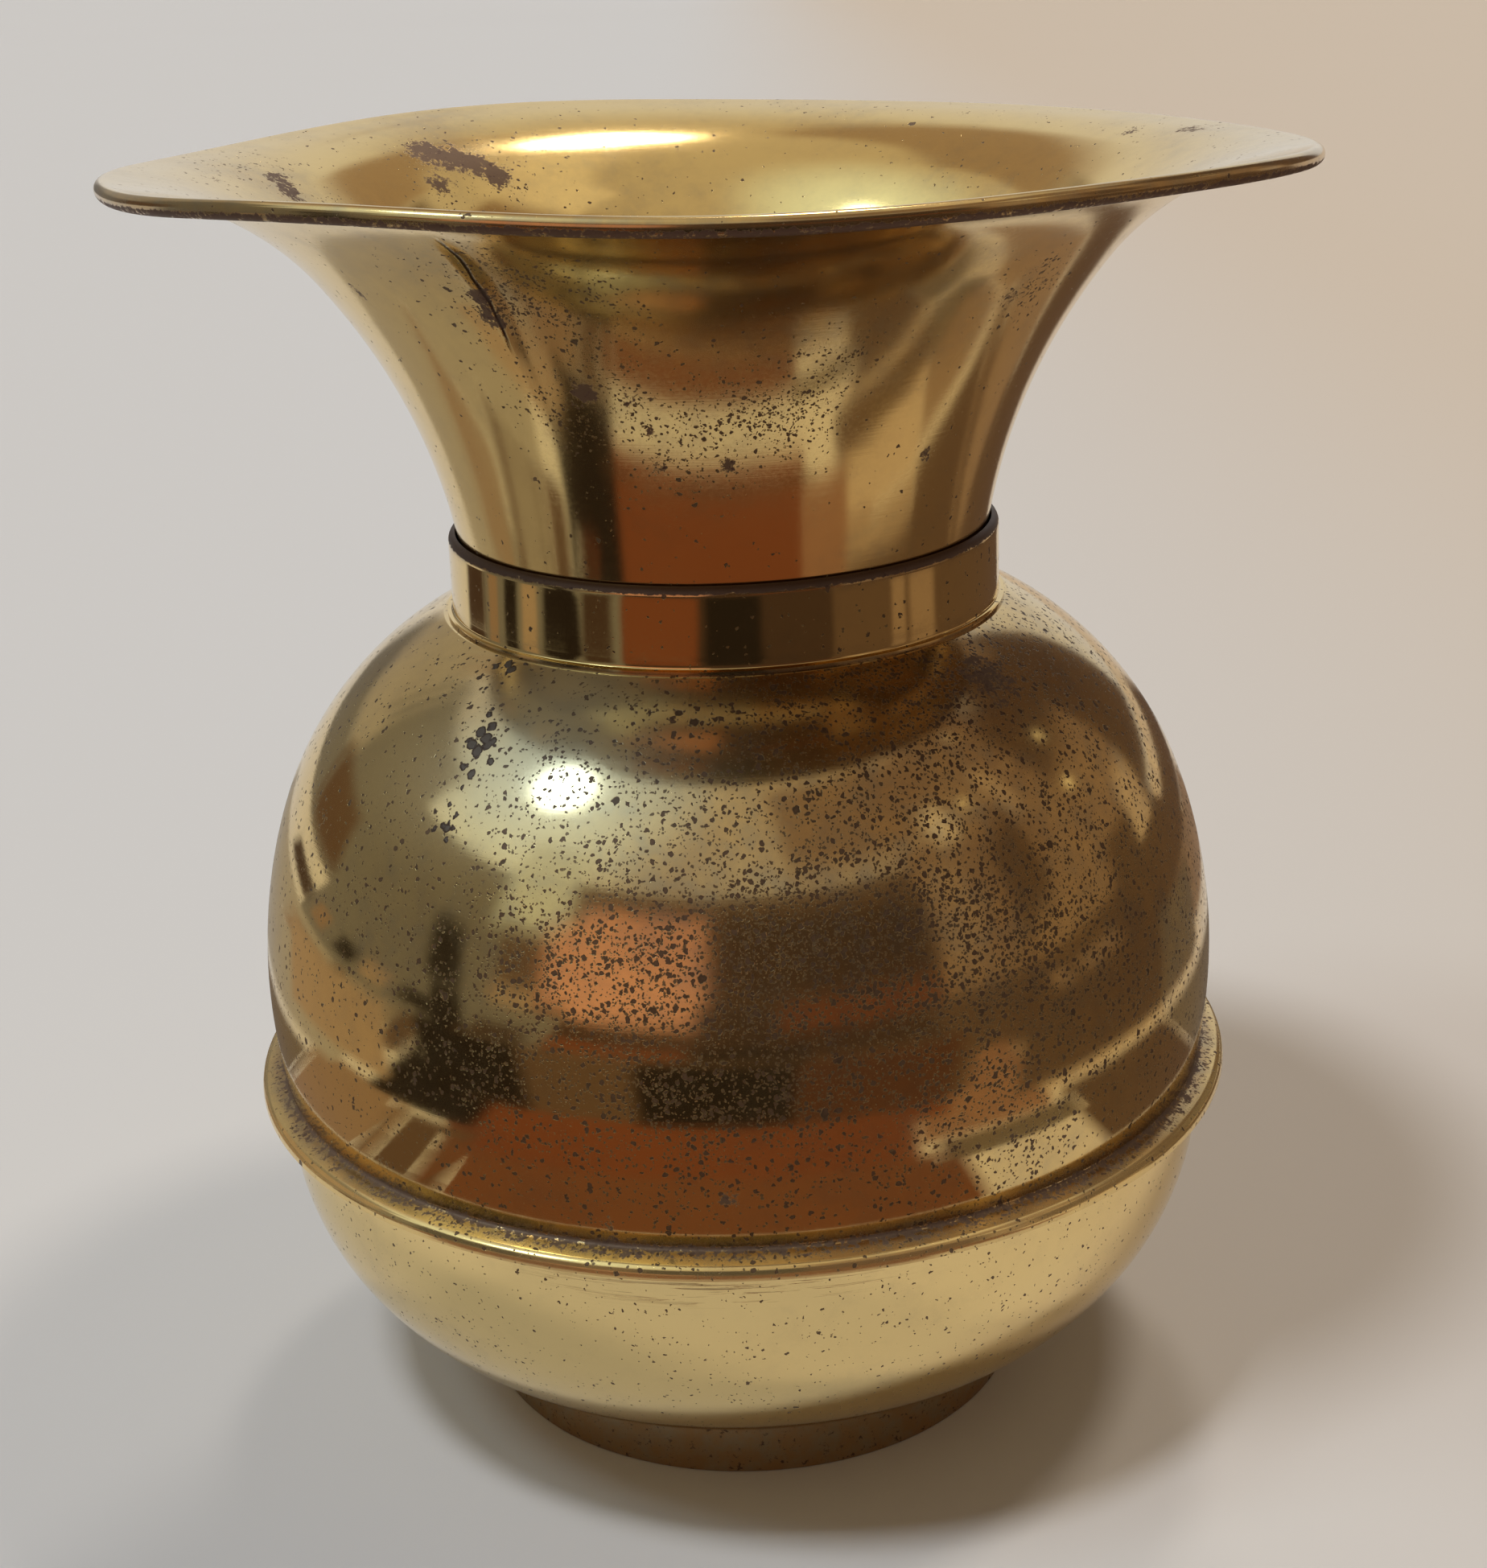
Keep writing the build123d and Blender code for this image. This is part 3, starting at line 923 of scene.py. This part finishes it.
coat(rim_wire, dull_metal("drawn_wire", WIRE_GREY, WIRE_BROWN, grain=1.5, rough=0.35))
solder = dull_metal("dull_solder", SOLDER_GREY, SOLDER_DARK, grain=2.0, rough=0.45)
for seam in ("foot_solder", "seam_solder", "collar_solder"):
    for place in frame["nodes"][seam].material_slots:
        place.material = solder
    print(seam, "coated", len(frame["nodes"][seam].material_slots))

# %% [markdown]
# ## Floor and light
#
# The object stands on a plain pale floor whose colour carries painted light: cool on the left like
# window light, and darker and warmer towards the right as painted warm shade. The floor has no gloss,
# so that it stays a plain ground for the shadow.

# %% Floor
FLOOR_WIDTH = 120
COOL_LIT_FLOOR, WARM_SHADED_FLOOR = (0.74, 0.76, 0.79, 1), (0.73, 0.645, 0.555, 1)
COOL_UNTIL, WARM_FROM = -150.0, 600.0

bpy.ops.mesh.primitive_plane_add(size=FLOOR_WIDTH, location=(0, 0, 0))
floor = bpy.context.active_object
floor.name = "pale_floor"
paint = Finish("pale_floor_paint")
to_right = paint.node("ShaderNodeSeparateXYZ", {0: paint.place}).outputs[0]
# Painted light: the floor's colour runs from cool on the left to darker and warmer on the right.
painted_warm_shade = paint.fade(to_right, COOL_UNTIL, WARM_FROM)
paint.socket("Base Color", paint.colour(painted_warm_shade, COOL_LIT_FLOOR, WARM_SHADED_FLOOR))
paint.socket("Roughness", 0.6)
paint.socket("Specular IOR Level", 0.0)
floor.data.materials.append(paint.material)
floor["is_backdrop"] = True
print("floor", FLOOR_WIDTH, "m wide")

# %% [markdown]
# Three lamps light the object from high up: a cool one on the left, like a window, a white one in
# front on the left, and a warm one on the right. Only the place under the bowl is dark to all three,
# and that gives the round shadow at the foot. A fourth, small and warm, shines into the funnel from
# behind. A mirror would show each lamp as a white disc, so only the window and the one behind are
# left in the reflections. All are sun lamps, which light the whole floor evenly; area lamps would
# leave a bright pool in its middle.

# %% Lamps
LAMP_REACH = 2


def direction(azimuth, elevation):
    """Azimuth runs from the camera's side towards the right."""
    turn, tilt = math.radians(azimuth), math.radians(elevation)
    return Vector((
        math.sin(turn) * math.cos(tilt), -math.cos(turn) * math.cos(tilt), math.sin(tilt),
    ))


def soft_lamp(name, azimuth, elevation, width, strength, colour, mirrored=True):
    lamp = bpy.data.lights.new(name, "SUN")
    lamp.angle, lamp.energy, lamp.color = math.radians(width), strength, colour
    holder = bpy.data.objects.new(name, lamp)
    holder.location = direction(azimuth, elevation) * LAMP_REACH
    holder.rotation_euler = direction(azimuth, elevation).to_track_quat("Z", "Y").to_euler()
    holder.visible_glossy = mirrored
    scene.collection.objects.link(holder)


soft_lamp("window_lamp", -71, 55, 13, 0.34, (0.80, 0.95, 1.0))
soft_lamp("back_lamp", 166, 61.5, 8, 0.40, (1.0, 0.90, 0.78))
soft_lamp("left_high_lamp", -45, 69, 9, 0.98, (0.98, 0.99, 1.0), mirrored=False)
soft_lamp("right_high_lamp", 100, 74, 9, 0.60, (1.0, 0.86, 0.70), mirrored=False)
print("lamps:", [lamp.name for lamp in bpy.data.lights])

# %% [markdown]
# The air of the room does two things. To the eye and to a mirror it is pale grey, lighter behind the
# object, warmer overhead, and with a soft halo round the window. As light it is much weaker and
# brown, so that the shadows stay. The Light Path node tells the two apart.

# %% Air
FRONT_AIR, BACK_AIR = (0.46, 0.44, 0.42, 1), (0.68, 0.67, 0.66, 1)
OVERHEAD_AIR, HALO_AIR = (0.53, 0.46, 0.36, 1), (0.85, 0.98, 1.0, 1)
FILL_LIGHT = (0.165, 0.13, 0.10, 1)
HALO_CENTRE, HALO_WIDTH = direction(-72, 53), math.radians(37)

world = bpy.data.worlds.new("studio_air")
scene.world = world
world.use_nodes = True
air = world.node_tree
air.nodes.clear()


def air_fade(value, low, high):
    limits = {"Value": value, "From Min": low, "From Max": high}
    return add_node(air, "ShaderNodeMapRange", limits, interpolation_type="SMOOTHSTEP").outputs[0]


def air_mix(share, first, second):
    tones = {0: share, 6: first, 7: second}
    return add_node(air, "ShaderNodeMix", tones, data_type="RGBA").outputs[2]


toward = add_node(air, "ShaderNodeTexCoord").outputs["Generated"]
look = add_node(air, "ShaderNodeSeparateXYZ", {0: toward}).outputs
pale = air_mix(air_fade(look[1], -0.3, 0.5), FRONT_AIR, BACK_AIR)
pale = air_mix(air_fade(look[2], 0.55, 0.85), pale, OVERHEAD_AIR)
halo = {0: toward, 1: tuple(HALO_CENTRE)}
halo = add_node(air, "ShaderNodeVectorMath", halo, operation="DOT_PRODUCT").outputs["Value"]
pale = air_mix(air_fade(halo, math.cos(HALO_WIDTH), 1.0), pale, HALO_AIR)
rays = add_node(air, "ShaderNodeLightPath").outputs
seen = {0: rays["Is Camera Ray"], 1: rays["Is Glossy Ray"]}
seen = add_node(air, "ShaderNodeMath", seen, operation="ADD").outputs[0]
seen = {0: seen, 1: rays["Is Transmission Ray"]}
seen = add_node(air, "ShaderNodeMath", seen, operation="ADD", use_clamp=True).outputs[0]
shine = {"Color": air_mix(seen, FILL_LIGHT, pale), "Strength": 1.0}
shine = add_node(air, "ShaderNodeBackground", shine).outputs[0]
add_node(air, "ShaderNodeOutputWorld", {0: shine})
print("air nodes:", len(air.nodes))

# %% [markdown]
# ## Cards for the metal to mirror
#
# Polished metal shows its surroundings more than its own colour, and in an even white room brass
# looks like plastic. So plain cards stand round the object for its reflections alone, in the browns
# and greys of an ordinary room, as a studio puts up cards beside a mirror. Some lie level round the
# object, at the height of the bead, some lean outwards beside the belly, and some stand far away
# like walls. Nothing but a mirror can see them, and they throw no shadow. A picture wrapped round
# the world would be simpler, but it can't change between the belly and the neck as near cards do.

# %% The cards' tones
CARD_TONES = {
    "cool_pale": (0.55, 0.61, 0.60, 1),
    "putty": (0.34, 0.31, 0.27, 1),
    "bright": (0.75, 0.66, 0.52, 1),
    "warm_pale": (0.48, 0.37, 0.27, 1),
    "beige": (0.34, 0.25, 0.18, 1),
    "russet": (0.26, 0.14, 0.09, 1),
    "tan": (0.26, 0.175, 0.12, 1),
    "grey": (0.17, 0.16, 0.15, 1),
    "drab": (0.155, 0.12, 0.09, 1),
    "copper": (0.60, 0.32, 0.24, 1),
    "red_brown": (0.165, 0.055, 0.026, 1),
    "dark_red": (0.085, 0.036, 0.021, 1),
    "umber": (0.11, 0.068, 0.046, 1),
    "red_umber": (0.155, 0.064, 0.034, 1),
    "dark_brown": (0.055, 0.033, 0.024, 1),
    "black": (0.018, 0.013, 0.011, 1),
    "small_light": (1.0, 0.88, 0.60, 1),
}


def card_paint(name, tone):
    """Shines evenly in one tone, and fades away where the card's cover falls to 0."""
    material = bpy.data.materials.new("card_" + name)
    material.use_nodes = True
    tree = material.node_tree
    tree.nodes.clear()
    cover = add_node(tree, "ShaderNodeAttribute", attribute_name="cover").outputs["Fac"]
    clear = add_node(tree, "ShaderNodeBsdfTransparent").outputs[0]
    glow = add_node(tree, "ShaderNodeEmission", {"Color": tone}).outputs[0]
    blend = add_node(tree, "ShaderNodeMixShader", {0: cover, 1: clear, 2: glow}).outputs[0]
    add_node(tree, "ShaderNodeOutputMaterial", {0: blend})
    return material


card_paints = {name: card_paint(name, tone) for name, tone in CARD_TONES.items()}
print("card paints:", len(card_paints))

# %% [markdown]
# A card with cut edges looks like a sticker in the metal. So each card is a small grid that carries a
# number called cover, 1 in the middle and 0 along the edges, and its paint fades out with it. The
# large ones at the back are left uncut, because they join edge to edge.

# %% A card
def mirror_card(name, rows, tone, soft=True):
    """A sheet through rows of points, given row by row."""
    high, wide = len(rows), len(rows[0])
    faces = [
        (i * wide + k, i * wide + k + 1, (i + 1) * wide + k + 1, (i + 1) * wide + k)
        for i in range(high - 1) for k in range(wide - 1)
    ]
    mesh = bpy.data.meshes.new(name)
    mesh.from_pydata([point for row in rows for point in row], [], faces)
    cover = np.ones((high, wide), np.float32)
    if soft:
        cover[[0, -1], :] = 0
        cover[:, [0, -1]] = 0
    mesh.attributes.new("cover", "FLOAT", "POINT").data.foreach_set("value", cover.ravel())
    mesh.materials.append(card_paints[tone])
    shape = bpy.data.objects.new(name, mesh)
    scene.collection.objects.link(shape)
    shape.visible_camera = shape.visible_diffuse = False
    shape.visible_shadow = shape.visible_transmission = False
    shape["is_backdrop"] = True


def cards_so_far():
    """The floor is on the stage too, but it isn't a card."""
    return sum(1 for shape in bpy.data.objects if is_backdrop(shape)) - 1


def azimuths_between(start, stop, fade):
    inner = np.linspace(start + fade, stop - fade, max(2, int((stop - start) / 4)))
    return np.concatenate(([start], inner, [stop]))


def round_point(azimuth, reach, height):
    turn = math.radians(azimuth)
    return (reach * math.sin(turn), -reach * math.cos(turn), height)


# %% [markdown]
# The first cards are parts of level rings, which the lower half of the belly looks down on. A ring's
# near edge decides where its reflection ends on the belly, so each was moved in and out until that
# place was right.

# %% Level cards
BEAD_LEVEL, LAYER_GAP, LEVEL_FADE = 77.0, 0.4, 9.0


def table_card(name, start, stop, near, far, tone, layer, level=BEAD_LEVEL, near_fade=LEVEL_FADE):
    """Part of a level ring, in degrees and millimetres; later layers lie on top."""
    fade = min(LEVEL_FADE, 0.25 * (far - near))
    azimuths = azimuths_between(start, stop, min(3.0, 0.2 * (stop - start)))
    reaches = (near, near + min(fade, near_fade), far - fade, far)
    height = (level + LAYER_GAP * layer) / PER_METRE
    rows = [[round_point(a, reach / PER_METRE, height) for a in azimuths] for reach in reaches]
    mirror_card(name, rows, tone, soft=layer > 0)


table_card("left_table", -112, -40, 250, 4200, "grey", 0)
table_card("front_table", -40, 40, 240, 4200, "dark_brown", 0)
table_card("right_table", 40, 128, 225, 4200, "umber", 0)
table_card("left_floor", -145, -70, 131, 330, "putty", 1)
table_card("front_strip", -46, 33, 149, 250, "red_brown", 1)
table_card("front_end", -38, -12, 240, 395, "drab", 1)
table_card("front_dark", -16, 16, 240, 395, "black", 2)
table_card("left_dark", -64, -39, 138, 256, "black", 2, near_fade=2.0)
table_card("left_umber", -94, -62, 186, 330, "umber", 1)
table_card("left_tan", -116, -94, 212, 290, "tan", 1)
table_card("right_glow", 45, 81, 138, 206, "warm_pale", 2)
table_card("right_glow_end", 45, 81, 200, 234, "beige", 2)
table_card("right_edge", 29, 50, 164, 250, "russet", 3)
table_card("back_dark", 145, 199, 118, 300, "dark_brown", 2)
table_card("right_tan", 78, 104, 150, 200, "tan", 1)
table_card("right_umber", 78, 112, 200, 300, "umber", 1)
table_card("back_tan", 104, 140, 165, 300, "tan", 1)
table_card("back_umber", 112, 152, 300, 900, "umber", 1)

# A dark strip that slants away to the left: reach, then the azimuths of its two sides.
COLUMN_LEVEL = 0.0778
column = [(205, -59, -49), (300, -63, -53), (540, -69, -59), (1200, -73, -63), (4200, -76, -66)]
mirror_card("left_column", [
    [round_point(a, reach / PER_METRE, COLUMN_LEVEL) for a in azimuths_between(start, stop, 2.0)]
    for reach, start, stop in column
], "black")
print("level cards:", cards_so_far())

# %% [markdown]
# Close to the belly the rings give it shade just over the bead. They lie a little lower than the
# rest, below the top of the bead, so that no pale line of floor shows between them and the bead. Two
# boards on the floor fill what the belly sees past them, and bands further out are the stripes on the
# collar.

# %% Shade, boards and bands
SHADE_LEVEL, SHADE_FADE, SHADE_LAYER = 73.5, 0.6, 3
BOARD_LEVEL = 0.5
BAND_NEAR, BAND_FAR, BAND_LAYER = 366, 600, 4

shade_rings = [
    (-130, -80, 106.5, 131, "drab"), (-80, -54, 106.5, 148, "tan"), (-56, -41, 106.5, 140, "umber"),
    (-44, 29, 106.5, 129, "red_umber"), (27, 50, 124, 133, "drab"), (50, 78, 106.5, 144, "umber"),
    (78, 125, 106.5, 142, "drab"),
]
for start, stop, near, far, tone in shade_rings:
    table_card(
        "shade_%d" % start, start - 2, stop + 2, near, far + 5, tone, SHADE_LAYER,
        level=SHADE_LEVEL, near_fade=SHADE_FADE,
    )

table_card("front_boards", -62, 34, 225, 460, "red_brown", 1, level=BOARD_LEVEL)
table_card("right_boards", 31, 64, 262, 460, "russet", 1, level=BOARD_LEVEL)

collar_bands = [
    (-128, -110, "dark_brown"), (-109, -101, "tan"), (-98, -89, "black"), (-88, -78, "beige"),
    (-77, -61, "black"), (-58, -43, "dark_brown"), (-42, -10, "red_brown"), (-10, 14, "black"),
    (6, 8, "red_brown"), (14, 42, "dark_brown"), (42, 66, "umber"), (66, 74, "tan"),
    (74, 90, "tan"), (90, 112, "umber"),
]
for k, (start, stop, tone) in enumerate(collar_bands):
    table_card("collar_band_%d" % k, start, stop, BAND_NEAR, BAND_FAR, tone, BAND_LAYER + k % 2)
print("with shade, boards and bands:", cards_so_far())

# %% [markdown]
# The middle of the belly looks straight out, at cards that lean outwards beside it. They lean so that
# the funnel sees them edge on and its own reflections stay clear of them.

# %% Cards beside the belly
BELLY_REACH, BELLY_TOP, BELLY_GAP = 139, 114, 0.6


def belly_card(name, start, stop, low, high, tone, layer, steep=1.43):
    """A card that leans outwards as it goes down: degrees round, heights in mm."""
    azimuths = azimuths_between(start, stop, min(3.0, 0.25 * (stop - start)))
    rows = []
    for share in (0.0, 0.15, 0.85, 1.0):
        height = low + share * (high - low)
        reach = BELLY_REACH - BELLY_GAP * layer + (BELLY_TOP - height) / steep
        rows.append([round_point(a, reach / PER_METRE, height / PER_METRE) for a in azimuths])
    mirror_card(name, rows, tone)


belly_card("belly_front", -46, 36, 79, 114, "umber", 0)
belly_card("belly_right", 40, 98, 77, 114, "umber", 0, steep=6.0)
belly_card("belly_left", -92, -56, 79, 112, "beige", 1, steep=6.0)
belly_card("belly_dark_left", -53, -31, 79, 114, "black", 2)
belly_card("belly_dark", -17, 10, 79, 113, "black", 3)
belly_card("belly_brown", 6, 33, 79, 113, "dark_red", 4)
belly_card("belly_end", 76, 98, 80, 114, "drab", 2, steep=6.0)
print("with those beside the belly:", cards_so_far())

# %% [markdown]
# Last come the walls, four metres away, for everything that looks up or straight out: the upper
# belly, the shoulder and the whole funnel. They are given in degrees round and degrees up, as they
# would be pointed at from the object, and a later layer hangs in front of an earlier one.

# %% Cards like walls
WALL_REACH, WALL_GAP = 4.0, 0.05


def wall_card(name, start, stop, low, high, tone, layer, tilt=0.0):
    """A card in degrees round and degrees up; a tilt leans it, in degrees per degree."""
    azimuths = azimuths_between(start, stop, min(4.0, 0.2 * (stop - start)))
    lean = tilt * (azimuths - (start + stop) / 2)
    reach = WALL_REACH - WALL_GAP * layer
    foot, top = reach * np.tan(np.radians(low + lean)), reach * np.tan(np.radians(high + lean))
    rows = [
        [round_point(a, reach, z) for a, z in zip(azimuths, foot + share * (top - foot))]
        for share in (0.0, 0.2, 0.8, 1.0)
    ]
    mirror_card(name, rows, tone, soft=layer > 0)


wall_card("left_wall", -135, -57, -2, 30, "grey", 0)
wall_card("front_wall", -57, 46, -2, 34, "umber", 0)
wall_card("right_wall", 46, 125, -2, 38, "tan", 0)
wall_card("right_corner", 125, 148, 3, 44, "umber", 0)
wall_card("left_high", -138, -94, 20, 43, "grey", 1)
wall_card("left_corner", -162, -128, 4, 42, "putty", 1)
wall_card("left_corner_foot", -162, -130, -5, 14, "grey", 2)
wall_card("left_dark", -136, -110, 0, 16, "umber", 2)
wall_card("right_ceiling", 12, 116, 30, 65, "tan", 1, tilt=-0.05)
wall_card("right_high", 98, 138, 26, 50, "umber", 2, tilt=0.1)
wall_card("high_glow", 66, 152, 58, 75, "bright", 2)
wall_card("pale_gap", -60, -46, -7, 7, "beige", 1)
wall_card("cool_gap", -62, -40, 14, 44, "cool_pale", 2)
wall_card("copper_panel", -41, -5, -3, 31, "copper", 1)
wall_card("copper_bulge", -48, -30, 1, 25, "copper", 2)
wall_card("thin_dark", -77, -65, -9, 15, "black", 2, tilt=-0.1)
wall_card("dark_panel", -8, 48, 4, 30, "dark_brown", 2, tilt=-0.08)
wall_card("dark_foot", -12, 10, -7, 9, "dark_brown", 3)
wall_card("warm_foot", 6, 48, -7, 8, "red_brown", 3)
wall_card("right_foot", 58, 92, -7, 9, "tan", 1)
wall_card("right_gap", 47, 61, 3, 33, "beige", 3)
wall_card("right_dark", 67, 83, 4, 34, "umber", 2, tilt=0.5)
wall_card("far_right_foot", 98, 130, -7, 11, "umber", 1)
wall_card("gold_streak", 113, 126, -8, 15, "warm_pale", 3)
wall_card("gold_streak_high", 82, 89, 28, 46, "warm_pale", 3)
wall_card("gold_patch", 58, 68, 34, 46, "bright", 3)
wall_card("back_right_band", 182, 224, 31, 62, "beige", 1)
wall_card("back_left_band", 136, 172, 35, 54, "beige", 1)

# Small lights, which the shoulder shows as sparks.
SPARK = 1.6
for azimuth, up in [(98, 52), (104, 24), (112, 33), (74, 41)]:
    name = "small_light_%d" % azimuth
    wall_card(name, azimuth - SPARK, azimuth + SPARK, up - SPARK, up + SPARK, "small_light", 4)
print("cards in all:", cards_so_far())

# %% [markdown]
# ## Sizes
#
# The bent rim may stand a little outside the imported box, so the growth of the box over the
# imported one is printed.

# %% Sizes
bpy.context.view_layer.update()
visual_box = [list(corner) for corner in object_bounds()]
growth = [
    [round((v - c) * PER_METRE, 2) for v, c in zip(visual, cad)]
    for visual, cad in zip(visual_box, cad_box)
]
print("box grows by", growth, "mm")
